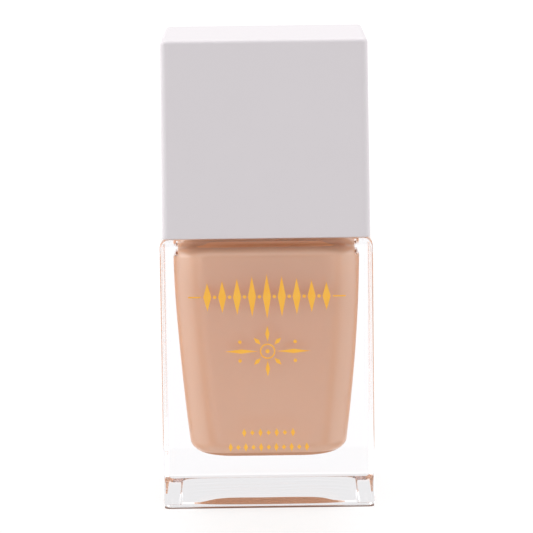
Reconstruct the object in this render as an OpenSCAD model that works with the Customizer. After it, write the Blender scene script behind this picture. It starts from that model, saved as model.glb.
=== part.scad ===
// Square glass nail polish bottle with a screw cap that carries the brush.
// Millimetres, +Z up, origin at the centre of the base. The printed face looks towards -Y.

/* [Glass body] */
// Width and depth of the glass body
body_w = 30; // [28:0.5:33]
// Height of the glass body, up to the flat top of its shoulder
body_h = 38.5; // [36:0.5:44]
// Radius of the upright edges
edge_r = 0.3; // [0.3:0.1:1.5]
// Radius of the edge round the base
heel_r = 0.9; // [0.4:0.1:1.5]
// Radius of the edge round the shoulder
shoulder_r = 1; // [0.8:0.1:2]
// Width of the flat rim that the bottle stands on, inside its rounded edge
rim_w = 1.2; // [0.8:0.1:3]
// Depth of the hollow under the base, where its rounded side ends
recess_h = 0.4; // [0.2:0.1:1.4]
// Width of the rounded side of that hollow
recess_round = 0.6; // [0.4:0.1:2]
// Rise of the push-up inside that hollow, at its middle
recess_dome = 0.6; // [0.2:0.05:1]

/* [Polish chamber] */
// Thickness of the glass floor
floor_t = 6.6; // [4:0.1:8]
// Thickness of the side wall near the shoulder
wall_top = 1.85; // [1.5:0.05:2.5]
// Thickness of the side wall near the floor
wall_low = 3.8; // [2.6:0.1:5]
// Thickness of the glass shoulder over the chamber
roof_t = 1.3; // [1.2:0.1:2.4]
// Radius of the upright corners of the chamber
chamber_r = 5; // [3:0.5:6]
// Radius of the corners of the chamber's floor
foot_r = 3; // [2:0.5:4]
// Air left between the polish and the roof of the chamber
air_gap = 0.5; // [0.3:0.1:4]
// Diameter of the two mixing balls
ball_d = 4; // [3:0.5:5]

/* [Neck finish] */
// Height of the neck above the shoulder
neck_h = 14; // [13.5:0.1:15]
// Diameter over the thread
thread_d = 14.6; // [14.4:0.1:15]
// Diameter at the root of the thread
root_d = 13.2; // [12.8:0.1:13.4]
// Diameter of the hole through the neck
bore_d = 8; // [7:0.5:9]
// Rise of the thread in one turn
pitch = 2.117; // [2.0:0.001:2.2]

/* [Cap] */
// Height of the outer cap
cap_h = 27.9; // [27:0.1:32]
// Width of the outer cap at its open end
cap_w = 29.35; // [28:0.05:32]
// Width of the outer cap at its top
cap_top_w = 29; // [28:0.05:32]
// Wall of the outer cap
cap_wall = 1.3; // [1:0.1:1.6]
// Radius of the upright edges of the outer cap
cap_edge_r = 0.95; // [0.6:0.05:2]
// Radius of the edge round the top of the outer cap
cap_top_r = 0.5; // [0.2:0.1:1]
// Gap between the glass shoulder and the rim of the outer cap
cap_gap = 0.1; // [0.1:0.05:0.5]

/* [Brush] */
// Diameter of the stem under its flange
stem_d = 4.6; // [4:0.1:4.6]
// Diameter of the stem at its tip
tip_d = 3.5; // [3.2:0.1:4]
// Distance from the lip of the neck down to the tip of the stem
stem_reach = 30.5; // [28:0.5:32]
// Length of the bristles below the tip of the stem
bristle_l = 13.8; // [10:0.1:14]

/* [Hidden] */

round_fn = 96;
corner_fn = 32;
thin = 0.01;
skin = 0.02;                // polish to glass, so that the two solids never cross

// Heights along the axis, from the base up
roof_z = body_h - roof_t;
lip_z = body_h + neck_h;
cap_z = body_h + cap_gap;
cap_top_z = cap_z + cap_h;

// Chamber: a rounded foot, a wall that opens towards the shoulder, and a rounded roof
foot_w = 4;
foot_h = 2.5;
crown_w = 1.4;
crown_h = 1.5;
wall_bend = 1.6;
low_z = floor_t + foot_h;
high_z = roof_z - crown_h;
low_half = body_w / 2 - wall_low;
high_half = body_w / 2 - wall_top;
floor_half = low_half - foot_w;
recess_half = body_w / 2 - heel_r - rim_w;
recess_r = 1.8;

// Neck thread, and the cap thread that runs half a pitch below it
thread_turns = 1.75;
neck_ridge_z = lip_z - 5.3;
ridge_steps = 30;
ridge_fade = 0.12;
ridge_bite = 0.3;           // depth by which a ridge is sunk into the wall it grows from
cap_thread_turns = 1.5;
cap_root_d = thread_d + 0.4;
cap_crest_d = root_d + 0.5;

// Seal, flange and closure stack above the lip
rest_gap = 0.05;            // between flat faces of pieces that come apart
seal_t = 0.9;
seal_d = 12.8;
seal_hole_d = stem_d + 0.4;
flange_z = lip_z + seal_t + 2 * rest_gap;
flange_t = 1.4;
flange_d = 9.4;
ceiling_z = flange_z + flange_t + rest_gap;
spigot_h = 5;
spigot_clear = 0.08;
inner_d = cap_root_d + 2;
inner_foot_z = lip_z - 11.8;
inner_top_t = 1.4;
knurl_d = 0.7;
knurl_count = 24;
boss_d = 8.4;
boss_z = ceiling_z + spigot_h + 1;

// Outer cap: ribs that hold the inner cap
cap_roof_t = 1.6;
rib_t = 0.9;
rib_offset = 4;
rib_foot = 3;
grip_d = inner_d + knurl_d + 0.04;
collar_d = boss_d + 0.04;
collar_t = 1.2;
seat_z = ceiling_z + inner_top_t;

// Brush
tip_z = lip_z - stem_reach;
taper_z = lip_z - 8;
bristle_d = 3.5;
bristle_root_d = 2.6;
bristle_root_l = 4.5;
bristle_end_d = 2.6;
staple_w = 2.4;
staple_t = 0.35;
staple_h = 1.6;
brush_clear = 0.4;
ball_places = [[0.83, 0.49] * floor_half, [-0.69, -0.76] * floor_half];

// Print on the front face
print_t = 0.04;
print_stroke = 0.2;
star_ring_d = 2.2;

// A flat disc at each corner of a square, the corner stones of a hull
module corner_stones(half, r, z) {
    for (sx = [-1, 1], sy = [-1, 1])
        translate([sx * (half - r), sy * (half - r), z])
            cylinder(h = thin, r = r, $fn = corner_fn);
}

// Square with rounded corners, given its half width
module rounded_square(half, r) {
    square([2 * half, 2 * (half - r)], center = true);
    square([2 * (half - r), 2 * half], center = true);
    for (sx = [-1, 1], sy = [-1, 1])
        translate([sx * (half - r), sy * (half - r)])
            circle(r = r, $fn = round_fn);
}

// Side outline of the glass body: tight heel, softer shoulder
module body_outline() {
    half = body_w / 2;
    translate([-half, heel_r]) square([body_w, body_h - heel_r - shoulder_r]);
    translate([-half + heel_r, 0]) square([body_w - 2 * heel_r, body_h - shoulder_r]);
    translate([-half + shoulder_r, heel_r]) square([body_w - 2 * shoulder_r, body_h - heel_r]);
    for (s = [-1, 1]) {
        translate([s * (half - heel_r), heel_r]) circle(r = heel_r, $fn = round_fn);
        translate([s * (half - shoulder_r), body_h - shoulder_r]) circle(r = shoulder_r, $fn = round_fn);
    }
}

// Outside of the glass body, before the neck is added
module body_block() {
    intersection() {
        linear_extrude(body_h) rounded_square(body_w / 2, edge_r);
        for_depth() body_outline();
        rotate([0, 0, 90]) for_depth() body_outline();
    }
}

// Stands an outline up and runs it through the depth of the body
module for_depth() {
    translate([0, body_w, 0]) rotate([90, 0, 0]) linear_extrude(2 * body_w) children();
}

// Half width of the chamber where its wall is at part t of the way up
function wall_half(t) = high_half - (high_half - low_half) * pow(1 - t, wall_bend);

// Height, half width and corner radius of the chamber, from its floor to its roof
chamber_levels = concat(
    [for (a = [90:-15:15]) [low_z - foot_h * sin(a), low_half - foot_w * (1 - cos(a)),
                            chamber_r + (foot_r - chamber_r) * (1 - cos(a))]],
    [for (t = [0:0.1:1]) [low_z + t * (high_z - low_z), wall_half(t), chamber_r]],
    [for (a = [15:15:90]) [high_z + crown_h * sin(a), high_half - crown_w * (1 - cos(a)), chamber_r]]
);

// The space inside the glass, drawn smaller by inset
module chamber(inset = 0) {
    hull()
        for (level = chamber_levels)
            corner_stones(level[1] - inset, level[2], level[0] - thin / 2);
}

// Hollow under the base: rounded sides and a domed push-up
module base_recess() {
    dome_half = recess_half - recess_round;
    hull() {
        for (a = [0:15:90])
            corner_stones(recess_half - recess_round * (1 - cos(a)), recess_r, recess_h * sin(a) - thin);
        for (t = [0.2:0.15:0.95])
            corner_stones(dome_half * t, recess_r, recess_h + recess_dome * (1 - pow(t, 3)) - thin);
    }
}

// Screw ridge of trapezoid section round the axis; it fades in and out at its ends
module screw_ridge(root_r, crest_r, root_w, crest_w, turns, z) {
    steps = round(turns * ridge_steps);
    function rise(i) = min(1, i / (ridge_fade * ridge_steps), (steps - i) / (ridge_fade * ridge_steps));
    function crest(i) = root_r + (crest_r - root_r) * (0.3 + 0.7 * rise(i));
    function at(i, r, dz) = [r * cos(360 * i / ridge_steps), r * sin(360 * i / ridge_steps),
                             z + pitch * i / ridge_steps + dz];
    points = [for (i = [0:steps]) each [at(i, root_r, -root_w / 2), at(i, crest(i), -crest_w / 2),
                                        at(i, crest(i), crest_w / 2), at(i, root_r, root_w / 2)]];
    sides = [for (i = [0:steps - 1], k = [0:3])
                let (a = 4 * i + k, b = 4 * i + (k + 1) % 4)
                each (crest_r > root_r ? [[a, b, b + 4], [a, b + 4, a + 4]]
                                       : [[a, b + 4, b], [a, a + 4, b + 4]])];
    last = 4 * steps;
    ends = crest_r > root_r ? [[3, 2, 1, 0], [last, last + 1, last + 2, last + 3]]
                            : [[0, 1, 2, 3], [last + 3, last + 2, last + 1, last]];
    polyhedron(points = points, faces = concat(sides, ends), convexity = 6);
}

module neck() {
    rotate_extrude($fn = round_fn)
        polygon([[0, body_h - 1], [root_d / 2, body_h - 1], [root_d / 2, lip_z - 0.5],
                 [root_d / 2 - 0.5, lip_z], [0, lip_z]]);
    screw_ridge(root_d / 2 - ridge_bite, thread_d / 2, 1.5, 0.7, thread_turns, neck_ridge_z);
}

module bottle() {
    color("azure", 0.45)
        difference() {
            union() {
                body_block();
                neck();
            }
            chamber();
            translate([0, 0, roof_z - 1])
                cylinder(h = lip_z - roof_z + 2, d = bore_d, $fn = round_fn);
            base_recess();
        }
}

module polish() {
    color("tan")
        difference() {
            intersection() {
                chamber(skin);
                linear_extrude(roof_z - air_gap) square(body_w, center = true);
            }
            translate([0, 0, tip_z - bristle_l - 1])
                cylinder(h = body_h, d = stem_d + 2 * brush_clear, $fn = round_fn);
            mixing_ball_set(skin);
        }
}

module mixing_ball_set(extra = 0) {
    for (place = ball_places)
        translate([place[0], place[1], floor_t + skin + ball_d / 2])
            sphere(d = ball_d + 2 * extra, $fn = 48);
}

module mixing_balls() {
    color("silver") mixing_ball_set();
}

// Long thin diamond, point up
module lozenge(w, h) {
    polygon([[-w / 2, 0], [0, -h / 2], [w / 2, 0], [0, h / 2]]);
}

// Row of upright diamonds, tallest in the middle, between two fine rules
module print_frieze() {
    for (i = [-4:4])
        translate([i * 2.1, 0]) lozenge(1.15, 6.4 - 0.6 * abs(i));
    for (i = [-4:3])
        translate([(i + 0.5) * 2.1, 0]) circle(d = 0.5, $fn = 24);
    for (s = [-1, 1])
        translate([s * 10.2, 0]) square([1.8, print_stroke], center = true);
}

// Compass star: long level rays, shorter ones between, round a small ring
module print_star() {
    for (a = [0:45:315])
        rotate(a)
            translate([star_ring_d / 2 + 0.25 + star_reach(a) / 2, 0]) lozenge(star_reach(a), 0.62);
    difference() {
        circle(d = star_ring_d, $fn = 48);
        circle(d = star_ring_d - 2 * print_stroke, $fn = 48);
    }
    circle(d = 0.6, $fn = 24);
    for (sx = [-1, 1], sy = [-1, 1])
        translate([sx * 3.9, sy * 1.35]) circle(d = 0.5, $fn = 24);
}

function star_reach(a) = a % 180 == 0 ? 4.7 : a % 90 == 0 ? 2.3 : 1.4;

// Row of small diamonds
module print_beads(count, step) {
    for (i = [0:count - 1])
        translate([(i - (count - 1) / 2) * step, 0]) lozenge(0.62, i % 2 == 0 ? 1.25 : 0.75);
}

// Print on the front face of the glass
module front_print() {
    color("goldenrod")
        translate([0, -body_w / 2, 0]) rotate([90, 0, 0]) linear_extrude(print_t) {
            translate([0, 30.4]) print_frieze();
            translate([0, 22.6]) print_star();
            translate([0, 10.9]) print_beads(7, 1.15);
            translate([0, 8.8]) print_beads(11, 1.08);
        }
}

module neck_seal() {
    color("whitesmoke")
        translate([0, 0, lip_z + rest_gap])
            difference() {
                cylinder(h = seal_t, d = seal_d, $fn = round_fn);
                translate([0, 0, -1]) cylinder(h = seal_t + 2, d = seal_hole_d, $fn = round_fn);
            }
}

module brush_stem() {
    color("ivory")
        difference() {
            rotate_extrude($fn = round_fn)
                polygon([[0, tip_z], [tip_d / 2 - 0.2, tip_z], [tip_d / 2, tip_z + 0.2],
                         [tip_d / 2, tip_z + 6], [stem_d / 2, taper_z], [stem_d / 2, flange_z],
                         [flange_d / 2, flange_z], [flange_d / 2, flange_z + flange_t],
                         [stem_d / 2, flange_z + flange_t],
                         [stem_d / 2, ceiling_z + spigot_h - 0.5],
                         [stem_d / 2 - 0.5, ceiling_z + spigot_h], [0, ceiling_z + spigot_h]]);
            translate([0, 0, tip_z - 1])
                cylinder(h = bristle_root_l + 1, d = bristle_root_d, $fn = round_fn);
        }
}

// Tuft: a root in the stem's socket, a full belly and a rounded end
module brush_bristles() {
    end_z = tip_z - bristle_l;
    color("saddlebrown")
        difference() {
            rotate_extrude($fn = round_fn)
                polygon([[0, tip_z + bristle_root_l], [bristle_root_d / 2, tip_z + bristle_root_l],
                         [bristle_root_d / 2, tip_z], [bristle_d / 2, tip_z - 4.5],
                         [bristle_d / 2, tip_z - 9], [bristle_end_d / 2, end_z + 1.2],
                         [bristle_end_d / 4, end_z + 0.2], [0, end_z]]);
            staple_block(skin);
        }
}

module staple_block(extra = 0) {
    translate([0, 0, tip_z + bristle_root_l - staple_h / 2])
        cube([staple_w + 2 * extra, staple_t + 2 * extra, staple_h + 2 * extra], center = true);
}

module bristle_staple() {
    color("lightgray") staple_block();
}

module inner_cap() {
    color("white")
        difference() {
            union() {
                rotate_extrude($fn = round_fn)
                    polygon([[cap_root_d / 2, inner_foot_z], [inner_d / 2, inner_foot_z],
                             [inner_d / 2, seat_z], [boss_d / 2, seat_z], [boss_d / 2, boss_z],
                             [0, boss_z], [0, ceiling_z], [cap_root_d / 2, ceiling_z]]);
                for (i = [0:knurl_count - 1])
                    rotate([0, 0, 360 * (i + 0.5) / knurl_count])
                        translate([inner_d / 2, 0, inner_foot_z + 2])
                            cylinder(h = seat_z - inner_foot_z - 2, d = knurl_d, $fn = 24);
                screw_ridge(cap_root_d / 2 + ridge_bite, cap_crest_d / 2, 1.1, 0.5,
                            cap_thread_turns, neck_ridge_z - pitch / 2);
            }
            translate([0, 0, ceiling_z - 1])
                cylinder(h = spigot_h + 1 + rest_gap, d = stem_d + 2 * spigot_clear, $fn = round_fn);
        }
}

// Outside of the outer cap: slight taper, rounded edges
module overcap_block() {
    lean = (cap_w - cap_top_w) / 2;
    hull() {
        corner_stones(cap_w / 2, cap_edge_r, cap_z);
        for (a = [0:15:90])
            corner_stones(cap_top_w / 2 - cap_top_r * (1 - cos(a)) + lean * cap_top_r / cap_h,
                          cap_edge_r, cap_top_z - cap_top_r * (1 - sin(a)) - thin);
    }
}

module overcap_hollow() {
    hull() {
        corner_stones(cap_w / 2 - cap_wall, cap_edge_r, cap_z - 1);
        corner_stones(cap_top_w / 2 - cap_wall, cap_edge_r, cap_top_z - cap_roof_t);
    }
}

// Ribs on all four sides; they grip the inner cap and stop it at its seat
module overcap_ribs() {
    difference() {
        for (quarter = [0:3], s = [-1, 1])
            rotate([0, 0, 90 * quarter])
                translate([0, s * rib_offset - rib_t / 2, cap_z + rib_foot])
                    cube([cap_top_w / 2 - cap_wall / 2, rib_t, cap_h - rib_foot - cap_roof_t / 2]);
        cylinder(h = seat_z, d = grip_d, $fn = round_fn);
        cylinder(h = cap_top_z, d = collar_d + collar_t, $fn = round_fn);
    }
    translate([0, 0, seat_z])
        difference() {
            cylinder(h = cap_top_z - seat_z - cap_roof_t / 2, d = collar_d + 2 * collar_t, $fn = round_fn);
            translate([0, 0, -1])
                cylinder(h = cap_top_z - seat_z - cap_roof_t + 1, d = collar_d, $fn = round_fn);
        }
}

module overcap() {
    color("white") {
        difference() {
            overcap_block();
            overcap_hollow();
        }
        overcap_ribs();
    }
}

bottle();
polish();
mixing_balls();
front_print();
neck_seal();
brush_stem();
brush_bristles();
bristle_staple();
inner_cap();
overcap();
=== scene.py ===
"""Looks of a square glass nail polish bottle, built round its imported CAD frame."""

import math
import random

import bpy
from mathutils import Euler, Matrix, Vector, noise


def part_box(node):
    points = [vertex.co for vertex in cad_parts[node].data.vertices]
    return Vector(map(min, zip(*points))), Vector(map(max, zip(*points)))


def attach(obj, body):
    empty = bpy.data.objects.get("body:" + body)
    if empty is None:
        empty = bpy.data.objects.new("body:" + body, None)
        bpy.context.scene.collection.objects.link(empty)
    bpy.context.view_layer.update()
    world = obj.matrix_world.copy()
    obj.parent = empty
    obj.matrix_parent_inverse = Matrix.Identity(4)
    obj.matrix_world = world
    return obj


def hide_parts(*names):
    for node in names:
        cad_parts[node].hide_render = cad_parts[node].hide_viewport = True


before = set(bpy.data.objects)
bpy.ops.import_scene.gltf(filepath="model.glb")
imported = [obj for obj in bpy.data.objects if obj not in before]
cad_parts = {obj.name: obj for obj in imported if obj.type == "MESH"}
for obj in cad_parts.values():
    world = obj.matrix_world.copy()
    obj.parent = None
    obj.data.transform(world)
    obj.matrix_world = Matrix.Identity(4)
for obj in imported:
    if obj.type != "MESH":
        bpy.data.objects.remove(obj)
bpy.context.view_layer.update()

MM = 0.001

# ---------------------------------------------------------------- sizes, in millimetres


def box_mm(node):
    """Lowest and highest corner of a CAD node, in millimetres."""
    low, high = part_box(node)
    return low / MM, high / MM


glass_low, glass_high = box_mm("bottle")
_, chamber_high = box_mm("polish")
cap_low, cap_high = box_mm("overcap")
closure_low, closure_high = box_mm("inner_cap")
seal_low, seal_high = box_mm("neck_seal")
stem_low, stem_high = box_mm("brush_stem")
tuft_low, tuft_high = box_mm("brush_bristles")
staple_low, staple_high = box_mm("bristle_staple")

# Glass body
BODY_HALF = glass_high.x
LIP_Z = glass_high.z
CAP_GAP = 0.1               # between the shoulder and the rim of the cap
SHOULDER_Z = cap_low.z - CAP_GAP
EDGE_R = 0.3                # upright edges
HEEL_R = 0.9
SHOULDER_R = 1.0
RIM_W = 1.2                 # flat ring that the bottle stands on
RECESS_HALF = BODY_HALF - HEEL_R - RIM_W
RECESS_R = 1.8
RECESS_H = 0.46
RECESS_ROUND = 0.6
DOME_H = 0.54               # rise of the push-up over the recess
DOME_POWER = 4              # how flat its middle is
WAVE_H = 0.06
PRINT_GAP = 0.015           # air behind the foil on the front face, so that light reaches its back

# Chamber that holds the polish
SKIN = 0.02                 # from the CAD liquid to the CAD glass
ROOF_T = 1.3
ROOF_Z = SHOULDER_Z - ROOF_T
FLOOR_Z = 6.6               # thickness of the glass under the chamber
HIGH_HALF = chamber_high.x + SKIN
LOW_HALF = HIGH_HALF - 1.95
FOOT_W, FOOT_H = 4.0, 2.5   # curve from the wall into the floor
CROWN_W, CROWN_H = 1.4, 1.5  # curve from the wall into the roof
WALL_BEND = 1.6             # how soon the wall leans in on its way down
CHAMBER_R = 5.0             # upright corners
FOOT_R = 3.0                # corners of the floor
RIPPLE = 0.004              # unevenness of the wall, as a part of the distance from the axis
LOW_Z = FLOOR_Z + FOOT_H
HIGH_Z = ROOF_Z - CROWN_H

# Neck and its thread
ROOT_R = 6.6
CREST_R = 7.3
BORE_R = 4.0
PITCH = 2.117
RIDGE_Z = LIP_Z - 5.3       # where the ridge starts
RIDGE_TURNS = 1.75
RIDGE_W = 1.6
RIDGE_FADE = 0.1            # part of a turn over which a ridge dies out at each end
NECK_FILLET = 0.8           # between the neck and the shoulder
BORE_FILLET = 0.6           # between the bore and the roof of the chamber
LIP_OUTER_R = 0.6
LIP_INNER_R = 0.4

# Stack above the lip: seal, flange of the stem, closure
REST_GAP = 0.05             # between pieces that rest on each other
FLANGE_Z = seal_high.z + REST_GAP
FLANGE_T = 1.4
FLANGE_R = 4.7
CEILING_Z = FLANGE_Z + FLANGE_T + REST_GAP
SEAT_Z = CEILING_Z + 1.4
STEM_R = 2.3
TIP_R = 1.75
TAPER_TOP_Z = LIP_Z - 8     # the stem is straight above this
TAPER_END = 6               # and again in its lowest part, this long
SOCKET_R = 1.3
SOCKET_L = 4.5
CLOSURE_R = 8.5
KNURL_R = 0.35
KNURL_COUNT = 24
KNURL_FOOT_Z = closure_low.z + 2
CLOSURE_ROOT_R = 7.5
CLOSURE_CREST_R = 6.85
CLOSURE_RIDGE_Z = RIDGE_Z - PITCH / 2
CLOSURE_RIDGE_W = 1.4
CLOSURE_TURNS = 1.5
THREAD_STEP = 0.1           # height of one row of faces along a thread
STRANDS = 260               # bristles in the tuft
BOSS_R = 4.2
SPIGOT_HOLE_R = 2.38

# Outer cap
CAP_WALL = 1.3
CAP_EDGE_R = 0.95
CAP_TOP_R = 0.5
CAP_TAPER = 0.175
CAP_ROOF_T = 1.6
CAP_RIM_R = 0.2
RIB_T = 0.9
RIB_OFFSET = 4.0
RIB_FOOT = 3.0
COLLAR_R = 4.22
COLLAR_T = 1.2
GRIP_R = CLOSURE_R + KNURL_R + 0.02  # where the ribs hold the closure

# ---------------------------------------------------------------- mesh building


def polar_angles():
    """Angles round the axis, closer together where a square section has its corners."""
    quarter = []
    for start, end, steps in ((0, 30, 8), (30, 43, 12), (43, 47, 14), (47, 60, 12), (60, 90, 8)):
        quarter += [start + (end - start) * i / steps for i in range(steps)]
    return [math.radians(90 * q + a) for q in range(4) for a in quarter]


ANGLES = polar_angles()


def section_radius(angle, half, r):
    """Distance from the axis to a square of that half width with corners of radius r."""
    c, s = abs(math.cos(angle)), abs(math.sin(angle))
    straight = half - r
    if half * s <= straight * c:
        return half / c
    if half * c <= straight * s:
        return half / s
    b = straight * (c + s)
    return b + math.sqrt(max(0.0, b * b - 2 * straight * straight + r * r))


def square_ring(z, half, r):
    """Ring of points round a square section with rounded corners."""
    ring = []
    for a in ANGLES:
        d = section_radius(a, half, min(r, half))
        ring.append((d * math.cos(a), d * math.sin(a), z))
    return ring


def round_ring(z, r):
    """Ring of points round a circle."""
    return [(r * math.cos(a), r * math.sin(a), z) for a in ANGLES]


def quarter_arc(z, half, rise, reach, start, end, steps=8):
    """Heights and half widths along an elliptic arc, its angles in degrees from the horizontal."""
    out = []
    for i in range(steps + 1):
        a = math.radians(start + (end - start) * i / steps)
        out.append((z + rise * math.sin(a), half + reach * math.cos(a)))
    return out


def mesh_object(name, points, faces, smooth=True):
    """Object from points in millimetres."""
    mesh = bpy.data.meshes.new(name)
    mesh.from_pydata([Vector(p) * MM for p in points], [], faces)
    mesh.validate()
    mesh.update()
    if smooth:
        mesh.shade_smooth()
    obj = bpy.data.objects.new(name, mesh)
    bpy.context.scene.collection.objects.link(obj)
    return obj


def loft_faces(rings):
    """Points and faces of a skin through the rings, closed by a middle point at each end."""
    n = len(rings[0])
    points = [p for ring in rings for p in ring]
    first, last = len(points), len(points) - n
    points += [(0, 0, rings[0][0][2]), (0, 0, rings[-1][0][2])]
    faces = []
    for j in range(len(rings) - 1):
        for i in range(n):
            a, b = j * n + i, j * n + (i + 1) % n
            faces.append((a, b, b + n, a + n))
    for i in range(n):
        faces.append((first, (i + 1) % n, i))
        faces.append((first + 1, last + i, last + (i + 1) % n))
    return points, faces


def loft(name, rings):
    """Object with a closed skin through the rings."""
    return mesh_object(name, *loft_faces(rings))


def revolve(name, profile, count=96, bump=None):
    """Solid of revolution from (radius, height) points.

    The outline starts and ends on the axis, or it closes on itself away from it.
    bump(angle, r, z) is added to a radius.
    """
    on_axis = profile[0][0] == 0
    body = profile[1:-1] if on_axis else profile
    points, faces = [], []
    for r, z in body:
        for k in range(count):
            a = 2 * math.pi * k / count
            d = r + (bump(a, r, z) if bump else 0)
            points.append((d * math.cos(a), d * math.sin(a), z))
    rows = len(body)
    for j in range(rows - 1 if on_axis else rows):
        for k in range(count):
            a, b = j * count + k, j * count + (k + 1) % count
            up = ((j + 1) % rows) * count - j * count
            faces.append((a, b, b + up, a + up))
    if on_axis:
        first = len(points)
        points += [(0, 0, profile[0][1]), (0, 0, profile[-1][1])]
        last = (rows - 1) * count
        for k in range(count):
            faces.append((first, (k + 1) % count, k))
            faces.append((first + 1, last + k, last + (k + 1) % count))
    return mesh_object(name, points, faces)


def arc(r, z, radius, start, end, steps=5):
    """(radius, height) points along a circular arc, its angles in degrees."""
    return [(r + radius * math.cos(math.radians(start + (end - start) * i / steps)),
             z + radius * math.sin(math.radians(start + (end - start) * i / steps)))
            for i in range(steps + 1)]


def inset(outline, d):
    """A counter-clockwise outline moved inwards by d at each of its edges."""
    out = []
    for i, (x, z) in enumerate(outline):
        (ax, az), (bx, bz) = outline[i - 1], outline[(i + 1) % len(outline)]
        u = Vector((x - ax, z - az)).normalized()
        v = Vector((bx - x, bz - z)).normalized()
        p, q = Vector((-u.y, u.x)), Vector((-v.y, v.x))
        move = (p + q) * (d / (1 + p.dot(q)))
        out.append((x + move.x, z + move.y))
    return out


def plate(outline, y_mid, thick, edge, quarter=0):
    """Points and faces of a plate with soft edges: an outline in X and Z, turned by quarters."""
    n, half = len(outline), thick / 2
    points = []
    for y, d in ((-half, edge), (-half + edge, 0), (half - edge, 0), (half, edge)):
        points += [(x, y_mid + y, z) for x, z in inset(outline, d)]
    faces = [tuple(range(n)), tuple(reversed(range(3 * n, 4 * n)))]
    for j in range(3):
        for i in range(n):
            a, b = j * n + i, j * n + (i + 1) % n
            faces.append((a, a + n, b + n, b))
    c, s = ((1, 0), (0, 1), (-1, 0), (0, -1))[quarter]
    return [(c * x - s * y, s * x + c * y, z) for x, y, z in points], faces


def merge(parts):
    """One list of points and one of faces from several."""
    points, faces = [], []
    for more_points, more_faces in parts:
        start = len(points)
        points += more_points
        faces += [tuple(start + i for i in face) for face in more_faces]
    return points, faces


def join(objects):
    """Joins meshes into the first one."""
    bpy.ops.object.select_all(action="DESELECT")
    for obj in objects:
        obj.select_set(True)
    bpy.context.view_layer.objects.active = objects[0]
    bpy.ops.object.join()
    return objects[0]


def smoothstep(x, start, end):
    """0 before start, 1 after end, and a smooth rise between them."""
    t = min(1.0, max(0.0, (x - start) / (end - start)))
    return t * t * (3 - 2 * t)


def ridge_height(angle, z, base_z, turns, width):
    """Height, 0 to 1, of a screw ridge at that angle and height, fading at its ends."""
    best = 0.0
    for turn in range(int(turns) + 2):
        along = angle / (2 * math.pi) + turn
        if not 0 <= along <= turns:
            continue
        fade = min(1.0, along / RIDGE_FADE, (turns - along) / RIDGE_FADE)
        off = abs(z - base_z - PITCH * along) / (width / 2)
        if off < 1:
            best = max(best, fade * (0.5 + 0.5 * math.cos(math.pi * off ** 1.6)))
    return best


# ---------------------------------------------------------------- chamber of the bottle


def wall_half(t):
    """Half width of the chamber at part t of the way up its wall."""
    return HIGH_HALF - (HIGH_HALF - LOW_HALF) * (1 - t) ** WALL_BEND


def chamber_profile():
    """Height, half width and outward normal (across, up) down the chamber from roof to floor."""
    curve_steps, wall_steps = 12, 24
    curve = []
    for i in range(curve_steps + 1):
        a = math.radians(90 * i / curve_steps)
        curve.append((math.cos(a), math.sin(a)))
    profile = []
    for s, c in curve:
        profile.append((HIGH_Z + CROWN_H * s, HIGH_HALF - CROWN_W * (1 - c), c, s))
    for i in range(1, wall_steps):
        t = 1 - i / wall_steps
        profile.append((LOW_Z + t * (HIGH_Z - LOW_Z), wall_half(t), 1.0, 0.0))
    for c, s in curve:
        profile.append((LOW_Z - FOOT_H * s, LOW_HALF - FOOT_W * (1 - c), c, -s))
    return profile


def chamber_ripple(point):
    """The faint unevenness of a blown chamber wall."""
    x, y, z = point
    wave = noise.noise(Vector((x * 0.09, y * 0.09, z * 0.07 + 3.0)))
    scale = 1 + RIPPLE * wave
    return (x * scale, y * scale, z)


def chamber_rings(offset):
    """Rings down the chamber; offset(x, y, up) says how far a point stands outside its wall."""
    rings = []
    for z, half, across, up in chamber_profile():
        tuck = min(1.0, max(0.0, (LOW_HALF - half) / FOOT_W)) if z < LOW_Z else 0.0
        r = CHAMBER_R + (FOOT_R - CHAMBER_R) * tuck
        ring = []
        for angle in ANGLES:
            c, s = math.cos(angle), math.sin(angle)
            d = section_radius(angle, half, r)
            out = offset(d * c, d * s, up)
            d = section_radius(angle, half + out * across, r)
            ring.append(chamber_ripple((d * c, d * s, z + out * up)))
        rings.append(ring)
    return rings


# ---------------------------------------------------------------- glass bottle


def dome(x, y):
    """Rise of the push-up under the base, with the faint waves that a mould leaves."""
    fade = [max(0.0, 1 - abs(v / RECESS_HALF) ** DOME_POWER) for v in (x, y)]
    wave = noise.noise(Vector((x * 0.12, y * 0.5, 1.7)))
    return fade[0] * fade[1] * (DOME_H + WAVE_H * wave)


def base_rings():
    """Rings from the middle of the push-up out to the rim and up the rounded heel."""
    rings = []
    dome_half, dome_steps = RECESS_HALF - RECESS_ROUND, 32
    for i in range(1, dome_steps + 1):
        t = i / dome_steps
        half = dome_half * t
        r = half + (RECESS_R - half) * t ** 3
        rings.append([(x, y, RECESS_H + dome(x, y)) for x, y, _ in square_ring(0, half, r)])
    for z, half in quarter_arc(0, dome_half, RECESS_H, RECESS_ROUND, 80, 6, 10):
        ring = square_ring(z, half, RECESS_R)
        rings.append([(x, y, z + dome(x, y) * z / RECESS_H) for x, y, z in ring])
    for half in (RECESS_HALF + 0.06, RECESS_HALF + 0.2, BODY_HALF - HEEL_R - 0.1):
        rings.append(square_ring(0, half, RECESS_R if half < RECESS_HALF + 0.3 else EDGE_R))
    for z, half in quarter_arc(HEEL_R, BODY_HALF - HEEL_R, HEEL_R, HEEL_R, -90, 0, 10):
        rings.append(square_ring(z, half, max(0.2, EDGE_R - 0.5 * (BODY_HALF - half))))
    return rings


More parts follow.
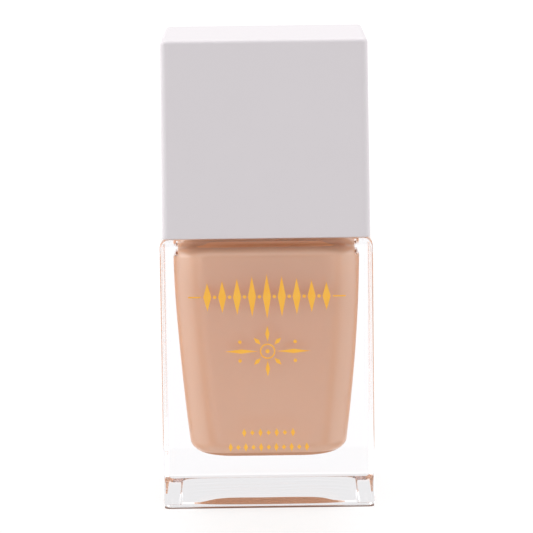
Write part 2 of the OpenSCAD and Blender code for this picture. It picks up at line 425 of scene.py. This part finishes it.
def wall_rings():
    """Rings up the outside, over the shoulder to the foot of the neck."""
    rings = []
    wall_top = SHOULDER_Z - SHOULDER_R
    for z in (HEEL_R + 0.2, 10.0, 20.0, 30.0, wall_top - 0.2):
        rings.append(square_ring(z, BODY_HALF, EDGE_R))
    for z, half in quarter_arc(wall_top, BODY_HALF - SHOULDER_R, SHOULDER_R, SHOULDER_R, 0, 90, 10):
        rings.append(square_ring(z, half, EDGE_R + 0.5 * (BODY_HALF - half)))
    # The section turns from square to round towards the neck
    for half, r in ((13.2, 1.6), (12.0, 3.0), (10.0, 6.0), (8.2, 8.2), (7.6, 7.6)):
        rings.append(square_ring(SHOULDER_Z, half, r))
    return rings


def neck_rings():
    """Rings up the threaded neck, over the lip, down the bore and out under the shoulder."""
    rings = []
    f = NECK_FILLET
    for z, r in quarter_arc(SHOULDER_Z + f, ROOT_R + f, f, f, -90, -180):
        rings.append(round_ring(z, r))
    z = RIDGE_Z - 1.0
    while z < LIP_Z - 0.75:
        ring = []
        for a in ANGLES:
            r = ROOT_R + (CREST_R - ROOT_R) * ridge_height(a, z, RIDGE_Z, RIDGE_TURNS, RIDGE_W)
            ring.append((r * math.cos(a), r * math.sin(a), z))
        rings.append(ring)
        z += THREAD_STEP
    f = LIP_OUTER_R
    for z, r in quarter_arc(LIP_Z - f, ROOT_R - f, f, f, 0, 90):
        rings.append(round_ring(z, r))
    f = LIP_INNER_R
    for z, r in quarter_arc(LIP_Z - f, BORE_R + f, f, f, 90, 180):
        rings.append(round_ring(z, r))
    for z in (50.0, 45.0, 40.0):
        rings.append(round_ring(z, BORE_R))
    f = BORE_FILLET
    for z, r in quarter_arc(ROOF_Z + f, BORE_R + f, f, f, 180, 270):
        rings.append(round_ring(z, r))
    for half, r in ((6.0, 6.0), (8.0, 6.0)):
        rings.append(square_ring(ROOF_Z, half, r))
    return rings


def build_bottle():
    """One closed skin of glass, outside and inside."""
    rings = base_rings() + wall_rings() + neck_rings() + chamber_rings(lambda x, y, up: 0)
    rings.append(square_ring(FLOOR_Z, 3.0, 2.5))
    front = PRINT_GAP - BODY_HALF
    return loft("glass_bottle", [[(x, max(y, front), z) for x, y, z in ring] for ring in rings])


# ---------------------------------------------------------------- polish

OVERLAP = 0.03              # the liquid is drawn this far into the glass, so that it wets it
DRY_GAP = 0.4               # air between the liquid and the crown of the chamber, except in front
DRY_SIDES = 12.5, 12.9      # where that gap opens, across the bottle
DRY_BACK = 10.5, 11.5       # and towards its back
LEVEL_Z = ROOF_Z - 0.5
LEVEL_R = 3.85              # radius of the open level, inside the film on the bore
BORE_FILM_ROWS = 38.0, 39.2  # heights of that film
BORE_FILM_TOP = 39.3
LIT_FILM, SHADED_FLOOR = 1, 2       # places in the list of the liquid's materials; the bulk is 0, then a lighter copy, painted light, and a darker copy, painted shade
SHADED_FLOOR_ROWS = 8           # lowest rows of the chamber's curve into its floor, where the darker copy paints shade


def wetting(x, y, up):
    """The liquid wets the whole wall, and clears the crown along the sides and the back."""
    aside = max(smoothstep(abs(x), *DRY_SIDES), smoothstep(y, *DRY_BACK))
    return OVERLAP - DRY_GAP * smoothstep(up, 0.05, 0.3) * aside


def build_polish():
    """Closed skin of liquid: its level, the film up the bore and on the roof, and the bulk."""
    rings = [round_ring(LEVEL_Z, r) for r in (2.0, 3.6)]
    for z, r in quarter_arc(LEVEL_Z + 0.25, LEVEL_R - 0.25, 0.25, 0.25, -90, 0, 4):
        rings.append(round_ring(z, r))
    for z in BORE_FILM_ROWS:
        rings.append(round_ring(z, BORE_R - 0.12))
    for z, r in quarter_arc(BORE_FILM_TOP, BORE_R - 0.05, 0.08, 0.07, 90, 0, 4):
        rings.append(round_ring(z, r + OVERLAP))
    mouth_z, mouth_r, f = ROOF_Z + BORE_FILLET, BORE_R + BORE_FILLET, BORE_FILLET - OVERLAP
    rings.append(round_ring(mouth_z, BORE_R + OVERLAP))
    for z, r in quarter_arc(mouth_z, mouth_r, f, f, 200, 270, 6):
        rings.append(round_ring(z, r))
    for half, r in ((6.0, 6.0), (8.0, 6.0), (HIGH_HALF - CROWN_W - 0.3, CHAMBER_R)):
        rings.append(square_ring(ROOF_Z + OVERLAP, half, r))
    lit_film_end = len(rings) + 2
    rings += chamber_rings(wetting)
    shaded_floor_start = len(rings) - SHADED_FLOOR_ROWS
    rings.append(square_ring(FLOOR_Z - OVERLAP, 3.0, 2.5))
    obj = loft("nail_polish", rings)
    # The level, the bore film and the roof take the lighter copy, painted light; the lowest rows
    # take the darker copy, painted shade
    for face in obj.data.polygons:
        ring = sorted(face.vertices)[1] // len(ANGLES)
        if ring < lit_film_end:
            face.material_index = LIT_FILM
        elif ring > shaded_floor_start:
            face.material_index = SHADED_FLOOR
    return obj


# ---------------------------------------------------------------- outer cap


def cap_half(z):
    """Half width of the outer cap at that height; it tapers a little towards its top."""
    return cap_high.x - CAP_TAPER * (z - cap_low.z) / (cap_high.z - cap_low.z)


def cap_shell():
    """Points and faces of the cap's walls and roof, one closed skin."""
    top, foot = cap_high.z, cap_low.z
    top_half, foot_half = cap_high.x - CAP_TAPER, cap_high.x
    rings = [square_ring(top, half, CAP_EDGE_R) for half in (4.0, 10.0, top_half - CAP_TOP_R - 0.4)]
    for z, half in quarter_arc(top - CAP_TOP_R, top_half - CAP_TOP_R, CAP_TOP_R, CAP_TOP_R, 90, 0):
        rings.append(square_ring(z, half, CAP_EDGE_R - 0.8 * (top_half - half)))
    for z in (top - CAP_TOP_R - 0.2, foot + 14, foot + CAP_RIM_R + 0.15):
        rings.append(square_ring(z, cap_half(z), CAP_EDGE_R))
    rim_z, r = foot + CAP_RIM_R, CAP_RIM_R
    inside = foot_half - CAP_WALL
    rim = quarter_arc(rim_z, foot_half - r, r, r, 0, -90, 5)
    rim += quarter_arc(rim_z, inside + r, r, r, -90, -180, 5)
    ceiling, r = top - CAP_ROOF_T, 0.6
    walls = [(z, cap_half(z) - CAP_WALL) for z in (foot + 1.0, ceiling - 1.2)]
    corner = quarter_arc(ceiling - r, cap_half(ceiling) - CAP_WALL - r, r, r, 0, 90, 5)
    for z, half in rim + walls + corner + [(ceiling, 6.0)]:
        rings.append(square_ring(z, half, CAP_EDGE_R))
    return loft_faces(rings)


def cap_ribs():
    """Two ribs on each side, as far in as the closure and, above the seat, as the collar."""
    foot, top = cap_low.z + RIB_FOOT, cap_high.z - CAP_ROOF_T + 0.3
    wall_x = cap_high.x - CAP_WALL + 0.3
    grip_x = math.sqrt(GRIP_R ** 2 - (RIB_OFFSET - RIB_T / 2) ** 2)
    collar_x = COLLAR_R * 0.5
    outline = [(grip_x + 0.5, foot), (wall_x, foot), (wall_x, top), (collar_x, top),
               (collar_x, SEAT_Z), (grip_x, SEAT_Z), (grip_x, foot + 1.2)]
    parts = []
    for quarter in range(4):
        for side in (-1, 1):
            parts.append(plate(outline, side * (RIB_OFFSET + 0.35), RIB_T, 0.12, quarter))
    return parts


def build_overcap():
    """Shell with its ribs, and the collar that takes the boss of the closure."""
    cap = mesh_object("outer_cap", *merge([cap_shell()] + cap_ribs()))
    high, outer, r = cap_high.z - CAP_ROOF_T + 0.3, COLLAR_R + COLLAR_T, 0.2
    profile = arc(COLLAR_R + r, SEAT_Z + r, r, 180, 270) + arc(outer - r, SEAT_Z + r, r, 270, 360)
    collar = revolve("collar", profile + [(outer, high), (COLLAR_R, high)])
    return join([cap, collar])


# ---------------------------------------------------------------- closure, seal and brush


def knurl(angle, r, z):
    """Upright half-round knurls round the closure."""
    if r < CLOSURE_R - 0.01 or z < KNURL_FOOT_Z:
        return 0
    step = 2 * math.pi / KNURL_COUNT
    off = CLOSURE_R * (angle % step - step / 2)
    return math.sqrt(max(0.0, KNURL_R ** 2 - off ** 2))


def closure_bump(angle, r, z):
    """Thread inside the skirt of the closure, knurls outside it."""
    if abs(r - CLOSURE_ROOT_R) < 0.01:
        crest = CLOSURE_CREST_R - CLOSURE_ROOT_R
        return crest * ridge_height(angle, z, CLOSURE_RIDGE_Z, CLOSURE_TURNS, CLOSURE_RIDGE_W)
    return knurl(angle, r, z)


def build_closure():
    """Threaded inner cap: skirt with knurls, thread inside, and a boss for the stem's spigot."""
    foot, top, r = closure_low.z, closure_high.z, CLOSURE_R
    profile = [(0, top), (3.0, top)] + arc(BOSS_R - 0.3, top - 0.3, 0.3, 90, 0)
    profile += arc(BOSS_R + 0.3, SEAT_Z + 0.3, 0.3, 180, 270)
    profile += [(r - 0.4, SEAT_Z), (r, SEAT_Z - 0.3), (r, SEAT_Z - 4.5), (r, SEAT_Z - 9)]
    profile += [(r, KNURL_FOOT_Z + 0.01), (r, KNURL_FOOT_Z - 0.35)]
    profile += arc(r - 0.25, foot + 0.25, 0.25, 0, -90)
    r, hole = CLOSURE_ROOT_R, SPIGOT_HOLE_R
    profile += arc(r + 0.25, foot + 0.25, 0.25, -90, -180)
    thread_low, thread_high = CLOSURE_RIDGE_Z - 0.8, RIDGE_Z + PITCH * CLOSURE_TURNS
    steps = round((thread_high - thread_low) / THREAD_STEP)
    profile += [(r, thread_low + THREAD_STEP * i) for i in range(steps + 1)]
    profile += [(r, CEILING_Z - 0.6)] + arc(r - 0.4, CEILING_Z - 0.4, 0.4, 0, 90)
    profile += [(5.0, CEILING_Z), (hole + 0.1, CEILING_Z), (hole, CEILING_Z + 0.15)]
    profile += [(hole, stem_high.z + REST_GAP), (0, stem_high.z + REST_GAP)]
    return revolve("inner_cap", profile, 288, closure_bump)


def build_seal():
    """Soft washer with rounded edges, a little hollow where the lip presses it."""
    low, high, outer, edge = seal_low.z, seal_high.z, seal_high.x, 0.18
    hole = STEM_R + 0.2

    def press(angle, r, z):
        return 0.02 * noise.noise(Vector((3 * math.cos(angle), 3 * math.sin(angle), z)))

    profile = arc(outer - edge, low + edge, edge, 0, -90)
    for r, dent in ((1.6, 0), (1.2, 0.05), (0.5, 0.05), (0.1, 0)):
        profile.append((BORE_R + r, low + dent))
    profile += arc(hole + edge, low + edge, edge, -90, -180)
    profile += arc(hole + edge, high - edge, edge, 180, 90)
    profile += arc(outer - edge, high - edge, edge, 90, 0)
    return revolve("neck_seal_washer", profile, 96, press)


def stem_radius(z):
    """Radius of the brush stem: straight above, tapered where it dips into the polish."""
    end_z = stem_low.z + TAPER_END
    t = min(1.0, max(0.0, (z - end_z) / (TAPER_TOP_Z - stem_low.z - TAPER_END)))
    return TIP_R + (STEM_R - TIP_R) * t


def build_stem():
    """Rod with the socket of the tuft, the flange that sits on the seal, and the spigot."""
    tip = stem_low.z
    profile = [(0, tip + SOCKET_L), (SOCKET_R, tip + SOCKET_L), (SOCKET_R, tip + 0.1)]
    profile += [(SOCKET_R + 0.1, tip)] + arc(TIP_R - 0.2, tip + 0.2, 0.2, -90, 0)
    profile += [(stem_radius(z), z) for z in (tip + 3, tip + 6, tip + 10, tip + 14, tip + 18)]
    profile += [(STEM_R, TAPER_TOP_Z), (STEM_R, FLANGE_Z)]
    profile += arc(FLANGE_R - 0.2, FLANGE_Z + 0.2, 0.2, -90, 0)
    profile += arc(FLANGE_R - 0.2, FLANGE_Z + FLANGE_T - 0.2, 0.2, 0, 90)
    profile += [(STEM_R + 0.15, FLANGE_Z + FLANGE_T), (STEM_R, FLANGE_Z + FLANGE_T + 0.15)]
    profile += [(STEM_R, stem_high.z - 0.5), (STEM_R - 0.5, stem_high.z), (0, stem_high.z)]
    return revolve("brush_stem_rod", profile)


def build_wet_coat():
    """Polish that clings to the dipped end of the stem, uneven above and beaded at the tip."""
    tip, top = stem_low.z, LEVEL_Z + 1.2

    def thick(angle, r, z):
        if r < SOCKET_R + 0.1:
            return 0
        around = Vector((1.5 * math.cos(angle), 1.5 * math.sin(angle), 0))
        edge = top + 1.6 * noise.noise(around)
        film = 0.09 + 0.03 * noise.noise(around * 2 + Vector((0, 0, z * 0.4)))
        bead = 0.12 * math.exp(-((z - tip - 0.8) / 1.1) ** 2)
        return (film + bead) * smoothstep(edge - z, -0.1, 0.5)

    profile = [(SOCKET_R, tip + 0.3), (SOCKET_R, tip - 0.06), (TIP_R - 0.25, tip - 0.08)]
    profile += [(TIP_R - 0.1, tip + 0.02), (TIP_R - 0.02, tip + 0.2)]
    rows = 44
    for i in range(1, rows + 1):
        z = tip + 0.2 + (top + 1.7 - tip - 0.2) * i / rows
        profile.append((stem_radius(z) - 0.02, z))
    profile += [(stem_radius(top) - 0.25, top + 1.7), (TIP_R - 0.3, tip + 0.3)]
    return revolve("stem_polish_coat", profile, 72, thick)


def tuft_radius(t):
    """Radius of the tuft at part t of the way from the tip of the stem to its end."""
    belly = SOCKET_R + (tuft_high.x - 0.06 - SOCKET_R) * smoothstep(t, 0.0, 0.35)
    return belly * (1 - 0.3 * smoothstep(t, 0.6, 1.0))


def strand(root, end_t, rng, sides=5, steps=9):
    """Points and faces of one bristle; root is its place in the unit disc."""
    tip, length = stem_low.z, stem_low.z - tuft_low.z
    sway = Vector((rng.uniform(-1, 1), rng.uniform(-1, 1))) * 0.05
    rings = []
    for i in range(steps + 1):
        t = -0.12 + (end_t + 0.12) * i / steps
        reach = tuft_radius(max(0.0, t)) if t > 0 else SOCKET_R - 0.08
        bend = smoothstep(t, 0.1, 1.0)
        cx, cy = root[0] * reach + sway.x * bend, root[1] * reach + sway.y * bend
        r = 0.055 * (1 - 0.55 * smoothstep(t, end_t - 0.12, end_t))
        around = [2 * math.pi * k / sides for k in range(sides)]
        z = tip - t * length
        rings.append([(cx + r * math.cos(a), cy + r * math.sin(a), z) for a in around])
    points = [p for ring in rings for p in ring]
    faces = [tuple(range(sides)), tuple(reversed(range(steps * sides, (steps + 1) * sides)))]
    for j in range(steps):
        for k in range(sides):
            a, b = j * sides + k, j * sides + (k + 1) % sides
            faces.append((a, a + sides, b + sides, b))
    return points, faces


def build_bristles():
    """Sunflower packing of bristles; the outer ones are shorter, so that the end is rounded."""
    rng = random.Random(7)
    golden = math.pi * (3 - math.sqrt(5))
    parts = []
    for i in range(STRANDS):
        d = math.sqrt((i + 0.5) / STRANDS) * 0.96
        root = (d * math.cos(i * golden), d * math.sin(i * golden))
        end_t = 1.0 - 0.16 * d * d - rng.uniform(0, 0.035)
        parts.append(strand(root, end_t, rng))
    return mesh_object("bristle_tuft", *merge(parts))


def build_tuft_polish():
    """Polish held between the bristles, with grooves where it sinks between the outer ones."""
    tip, length = stem_low.z, stem_low.z - tuft_low.z
    rows = 40
    ends = []
    for i in range(rows + 1):
        t = 0.9 * i / rows
        r = (tuft_radius(t) - 0.07) * math.sqrt(max(0.0, 1 - smoothstep(t, 0.72, 0.93) ** 2))
        ends.append((max(r, 0.02), tip - 0.02 - t * length))

    def groove(angle, r, z):
        ripple = abs(math.sin(14 * angle + 1.5 * noise.noise(Vector((0, 0, z * 0.3)))))
        lump = noise.noise(Vector((math.cos(angle), math.sin(angle), z * 0.5)))
        return -0.09 * min(1.0, r) * ripple - 0.05 * lump

    profile = [(0, tip - 0.02)] + ends + [(0, ends[-1][1] - 0.05)]
    return revolve("tuft_polish", profile, 112, groove)


def build_staple():
    """Flat wire anchor pressed across the folded bristles, its ends bent down."""
    x, low, high = staple_high.x, staple_low.z, staple_high.z
    t = 0.5
    outline = [(-x, low), (-x + t, low), (-x + t + 0.1, high - t), (x - t - 0.1, high - t),
               (x - t, low), (x, low), (x, high - 0.2), (x - 0.2, high),
               (-x + 0.2, high), (-x, high - 0.2)]
    thick = staple_high.y - staple_low.y
    return mesh_object("staple_wire", *plate(outline, 0, thick, 0.06), smooth=False)


# ---------------------------------------------------------------- materials


def new_material(name):
    """Material with a Principled shader; returns it with its node tree and that shader."""
    mat = bpy.data.materials.new(name)
    mat.use_nodes = True
    return mat, mat.node_tree, mat.node_tree.nodes["Principled BSDF"]


def place(tree, kind, **values):
    """Adds a node and sets its properties and sockets by name."""
    node = tree.nodes.new(kind)
    for key, value in values.items():
        if key in node.bl_rna.properties:
            setattr(node, key, value)
        else:
            node.inputs[key].default_value = value
    return node


def object_noise(tree, scale, detail=3.0):
    """Noise in the object's own space, so that it doesn't slide; scale is per metre."""
    coords = place(tree, "ShaderNodeTexCoord")
    tex = place(tree, "ShaderNodeTexNoise", Scale=scale, Detail=detail)
    tree.links.new(coords.outputs["Object"], tex.inputs["Vector"])
    return tex.outputs["Fac"]


def map_range(tree, value, source, target, **values):
    """Turns a value from one range into another."""
    node = place(tree, "ShaderNodeMapRange", **values)
    sockets = ("From Min", "From Max", "To Min", "To Max")
    for socket, number in zip(sockets, (*source, *target)):
        node.inputs[socket].default_value = number
    tree.links.new(value, node.inputs["Value"])
    return node.outputs["Result"]


def object_axis(tree, axis):
    """One coordinate in the object's own space."""
    coords = place(tree, "ShaderNodeTexCoord")
    split = place(tree, "ShaderNodeSeparateXYZ")
    tree.links.new(coords.outputs["Object"], split.inputs["Vector"])
    return split.outputs[axis]


def add_bump(tree, shader, height, distance):
    """Bump in the shader's normal; distance is in metres."""
    bump = place(tree, "ShaderNodeBump", Distance=distance, Strength=1.0)
    tree.links.new(height, bump.inputs["Height"])
    tree.links.new(bump.outputs["Normal"], shader.inputs["Normal"])


def vary_roughness(tree, shader, factor, low, high):
    """Roughness between two values."""
    rough = map_range(tree, factor, (0, 1), (low, high))
    tree.links.new(rough, shader.inputs["Roughness"])


def vary_colour(tree, shader, factor, one, other):
    """Base colour between two colours."""
    mix = place(tree, "ShaderNodeMix", data_type="RGBA")
    mix.inputs["A"].default_value = (*one, 1)
    mix.inputs["B"].default_value = (*other, 1)
    tree.links.new(factor, mix.inputs["Factor"])
    tree.links.new(mix.outputs["Result"], shader.inputs["Base Color"])


def varied_material(name, colours, colour_noise, rough, rough_noise, bump=None, **sockets):
    """Material whose colour and roughness vary between two values each.

    A noise is (scale,) or (scale, detail), a bump (distance, scale) or (distance, scale, detail),
    and sockets are other values of the shader, with _ for each space of their names.
    """
    mat, tree, shader = new_material(name)
    vary_colour(tree, shader, object_noise(tree, *colour_noise), *colours)
    vary_roughness(tree, shader, object_noise(tree, *rough_noise), *rough)
    if bump:
        add_bump(tree, shader, object_noise(tree, *bump[1:]), bump[0])
    for socket, value in sockets.items():
        shader.inputs[socket.replace("_", " ")].default_value = value
    return mat


POLISH_COLOURS = (0.755, 0.455, 0.29), (0.775, 0.475, 0.305)
LIT_FILM_COLOURS = (0.99, 0.59, 0.33), (1.0, 0.62, 0.36)          # lighter and warmer than the bulk: painted light on the film in the cap's shadow
SHADED_FLOOR_COLOURS = (0.60, 0.33, 0.20), (0.64, 0.36, 0.22)     # darker and deeper: painted shade on the floor of the chamber
CAP_COLOURS = (0.695, 0.655, 0.68), (0.71, 0.67, 0.695)
FOIL_COLOURS = (1.0, 0.46, 0.04), (1.0, 0.58, 0.09)
STEM_COLOURS = (0.80, 0.79, 0.76), (0.84, 0.83, 0.80)
CLOSURE_COLOURS = (0.78, 0.77, 0.76), (0.83, 0.82, 0.81)
FOAM_COLOURS = (0.80, 0.79, 0.75), (0.88, 0.87, 0.84)
STEEL_COLOURS = (0.60, 0.60, 0.61), (0.70, 0.70, 0.71)
WET_NYLON = (0.16, 0.09, 0.06)


def glass_material():
    """Clear glass with the weakest of waves."""
    mat, tree, shader = new_material("clear_glass")
    shader.inputs["Base Color"].default_value = (0.97, 0.96, 0.975, 1)
    shader.inputs["Transmission Weight"].default_value = 1
    shader.inputs["IOR"].default_value = 1.52
    shader.inputs["Roughness"].default_value = 0.0
    add_bump(tree, shader, object_noise(tree, 90, 1), 0.00002)
    return mat


def liquid_material(name, colours, **sockets):
    """Polish behind glass, where it has no gloss of its own."""
    return varied_material(name, colours, (60, 2), (0.4, 0.5), (400,),
                           Specular_IOR_Level=0, **sockets)


def plain_plastic(name, colours, rough):
    """Moulded plastic of the hidden pieces."""
    return varied_material(name, colours, (300,), (rough, rough + 0.1), (1200,), (0.00001, 1800))


def steel_material(name, rough):
    """Steel, as bright as its roughness lets it be."""
    return varied_material(name, STEEL_COLOURS, (400,), (rough, rough + 0.15), (2000,), Metallic=1)


def bristle_material():
    """Nylon, dark at the root and coated with polish along the tuft."""
    mat, tree, shader = new_material("wet_bristles")
    coords = place(tree, "ShaderNodeTexCoord")
    stretch = place(tree, "ShaderNodeMapping")
    stretch.inputs["Scale"].default_value = (9000, 9000, 300)
    tree.links.new(coords.outputs["Object"], stretch.inputs["Vector"])
    streak = place(tree, "ShaderNodeTexNoise", Scale=1.0, Detail=2.0)
    tree.links.new(stretch.outputs["Vector"], streak.inputs["Vector"])
    root = (stem_low.z - 3.5) * MM, (stem_low.z + 0.5) * MM
    depth = map_range(tree, object_axis(tree, "Z"), root, (-0.25, 0.35))
    add = place(tree, "ShaderNodeMath", operation="ADD", use_clamp=True)
    tree.links.new(streak.outputs["Fac"], add.inputs[0])
    tree.links.new(depth, add.inputs[1])
    bare = map_range(tree, add.outputs[0], (0.35, 0.75), (0, 1))
    vary_colour(tree, shader, bare, POLISH_COLOURS[1], WET_NYLON)
    vary_roughness(tree, shader, object_noise(tree, 1500), 0.12, 0.3)
    return mat


def dress(obj, *mats):
    """Gives an object its materials; a face keeps its place in their list."""
    places = [min(face.material_index, len(mats) - 1) for face in obj.data.polygons]
    obj.data.materials.clear()
    for mat in mats:
        obj.data.materials.append(mat)
    obj.data.polygons.foreach_set("material_index", places)


# ---------------------------------------------------------------- pieces on the frame


def add_piece(obj, mats, body, slot, *nodes):
    """Dresses a piece, lets it ride on a body and hides the CAD nodes that it stands for."""
    dress(obj, *mats)
    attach(obj, body)
    if nodes:
        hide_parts(*nodes)


# Bulk polish, then its lighter copy (painted light) and its darker copy (painted shade)
liquid_mats = (liquid_material("polish_cream", POLISH_COLOURS,
                               Coat_Weight=1, Coat_IOR=2, Coat_Roughness=0.3),
               liquid_material("polish_film_painted_light", LIT_FILM_COLOURS),
               liquid_material("polish_painted_floor_shade", SHADED_FLOOR_COLOURS))
wet_polish = varied_material("wet_polish", POLISH_COLOURS, (500,), (0.08, 0.16), (700,),
                             bump=(0.00002, 700, 1))
cap_plastic = varied_material("white_cap_plastic", CAP_COLOURS, (120,), (0.32, 0.42), (900,),
                              bump=(0.00001, 2500))
seal_foam = varied_material("seal_foam", FOAM_COLOURS, (500,), (0.7, 0.9), (900,),
                            bump=(0.00004, 5000, 4))
gold_foil = varied_material("gold_foil", FOIL_COLOURS, (700,), (0.25, 0.45), (3000,), Metallic=0.3)
stem_plastic = plain_plastic("stem_plastic", STEM_COLOURS, 0.3)
closure_plastic = plain_plastic("closure_plastic", CLOSURE_COLOURS, 0.38)
staple_steel = steel_material("staple_steel", 0.3)
ball_steel = steel_material("ball_steel", 0.1)

add_piece(build_bottle(), [glass_material()], "root", "glass", "bottle")
add_piece(build_polish(), liquid_mats, "root", "polish", "polish")
add_piece(build_overcap(), [cap_plastic], "cap", "cap_plastic", "overcap")
add_piece(build_closure(), [closure_plastic], "cap", "inner_cap_plastic", "inner_cap")
add_piece(build_seal(), [seal_foam], "seal", "seal_foam", "neck_seal")
add_piece(build_stem(), [stem_plastic], "brush", "stem_plastic", "brush_stem")
add_piece(build_wet_coat(), [wet_polish], "brush", "polish")
add_piece(build_bristles(), [bristle_material()], "brush", "bristles", "brush_bristles")
add_piece(build_tuft_polish(), [wet_polish], "brush", "polish")
add_piece(build_staple(), [staple_steel], "brush", "steel", "bristle_staple")

dress(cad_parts["front_print"], gold_foil)
dress(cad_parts["mixing_balls"], ball_steel)

# ---------------------------------------------------------------- floor, light and camera

WIDE = 20000                # half width of the floor
LAYER = 0.01                # step between the layers of the ground
FRONT_GLOW, BACK_GLOW = 0.75, 0.81
GLOW_FADE = -65 * MM, -31 * MM  # where the one turns into the other along Y
# Painted contact shadow: a dim ring of floor round the base, tinted warm like light through the
# polish
CONTACT_SHADOW_GLOW, CONTACT_SHADOW_TINT = 0.12, (1.0, 0.60, 0.48)
SHADE_GLOW = 0.1, 0.8       # in the middle of the base and at its edge

# Light from each side: axis, where it begins and is full along it, and its strength at each
LIGHTS = (("Y", -0.9, 0.4, 0.33, 0.88),   # from the viewer's side to the back
          ("Z", 0.4, 1.0, 0, 0.85),       # from above
          ("X", -0.4, -0.9, 0, 1.6),      # from the left
          ("X", 0.4, 0.9, 0, 0.8))        # from the right

EYE_DISTANCE, EYE_ELEVATION, EYE_ROLL = 452.7, 8.38, 0.73
AIM_DROP = 0.8              # the camera aims this far below the middle of the object
LENS, SENSOR = 210.3, 36


def floor_material(name, value, fade, glow, tint=(1, 1, 1)):
    """Softly lit pale ground; value(tree) says along what its own light fades."""
    mat, tree, shader = new_material(name)
    shader.inputs["Base Color"].default_value = (*(0.08 * c for c in tint), 1)
    shader.inputs["Emission Color"].default_value = (*tint, 1)
    strength = map_range(tree, value(tree), fade, glow, interpolation_type="SMOOTHSTEP")
    tree.links.new(strength, shader.inputs["Emission Strength"])
    return mat


def along_y(tree):
    """Distance from the middle of the ground towards the back."""
    return object_axis(tree, "Y")


def from_axis(tree):
    """Distance from the middle of the ground."""
    coords = place(tree, "ShaderNodeTexCoord")
    measure = place(tree, "ShaderNodeVectorMath", operation="LENGTH")
    tree.links.new(coords.outputs["Object"], measure.inputs[0])
    return measure.outputs["Value"]


def ground(name, steps, half, r, mat):
    """One flat layer of the ground, so many steps below the base."""
    ring = square_ring(-steps * LAYER, half, r)
    layer = mesh_object(name, ring, [tuple(range(len(ring)))], smooth=False)
    dress(layer, mat)


def build_floor():
    """Wide white floor, a thin warm painted contact shadow round the base on it, and the shade
    under the bottle.
    """
    shade = BODY_HALF - HEEL_R
    ground("floor", 3, WIDE, 1,
           floor_material("floor_white", along_y, GLOW_FADE, (FRONT_GLOW, BACK_GLOW)))
    ground("floor_contact_shadow", 2, BODY_HALF - 0.1, 0.8,
           floor_material("floor_contact_shadow", along_y, (-1, 1), (CONTACT_SHADOW_GLOW,) * 2, CONTACT_SHADOW_TINT))
    ground("floor_shade", 1, shade, 0.5,
           floor_material("floor_shade", from_axis, (0, shade * MM), SHADE_GLOW))


def build_world():
    """White surroundings, dimmer on the viewer's side."""
    world = bpy.data.worlds.new("studio")
    bpy.context.scene.world = world
    world.use_nodes = True
    tree = world.node_tree
    coords = place(tree, "ShaderNodeTexCoord")
    split = place(tree, "ShaderNodeSeparateXYZ")
    tree.links.new(coords.outputs["Generated"], split.inputs["Vector"])
    total = None
    for axis, start, end, low, high in LIGHTS:
        light = map_range(tree, split.outputs[axis], (start, end), (low, high),
                          interpolation_type="SMOOTHSTEP")
        if total:
            add = place(tree, "ShaderNodeMath", operation="ADD")
            tree.links.new(total, add.inputs[0])
            tree.links.new(light, add.inputs[1])
            light = add.outputs[0]
        total = light
    tree.links.new(total, tree.nodes["Background"].inputs["Strength"])
    tree.nodes["Background"].inputs["Color"].default_value = (1, 1, 1, 1)


def add_camera():
    """Camera a little above the bottle, in front of it, with a long lens."""
    elevation, roll = math.radians(EYE_ELEVATION), math.radians(EYE_ROLL)
    centre = Vector((0, 0, (cap_high.z + glass_low.z) / 2))
    aim = centre - Vector((0, 0, AIM_DROP))
    eye = centre + EYE_DISTANCE * Vector((0, -math.cos(elevation), math.sin(elevation)))
    cam = bpy.data.objects.new("camera", bpy.data.cameras.new("camera"))
    bpy.context.scene.collection.objects.link(cam)
    cam.location = eye * MM
    look = (aim - eye).to_track_quat("-Z", "Y")
    cam.rotation_euler = (look @ Euler((0, 0, -roll)).to_quaternion()).to_euler()
    cam.data.lens = LENS
    cam.data.sensor_width = SENSOR
    cam.data.clip_start = 0.01
    bpy.context.scene.camera = cam


build_floor()
build_world()
add_camera()
bpy.context.scene.view_settings.view_transform = "Standard"
cycles = bpy.context.scene.cycles
cycles.max_bounces = 24
cycles.transmission_bounces = cycles.glossy_bounces = cycles.diffuse_bounces = 16
cycles.blur_glossy = 0
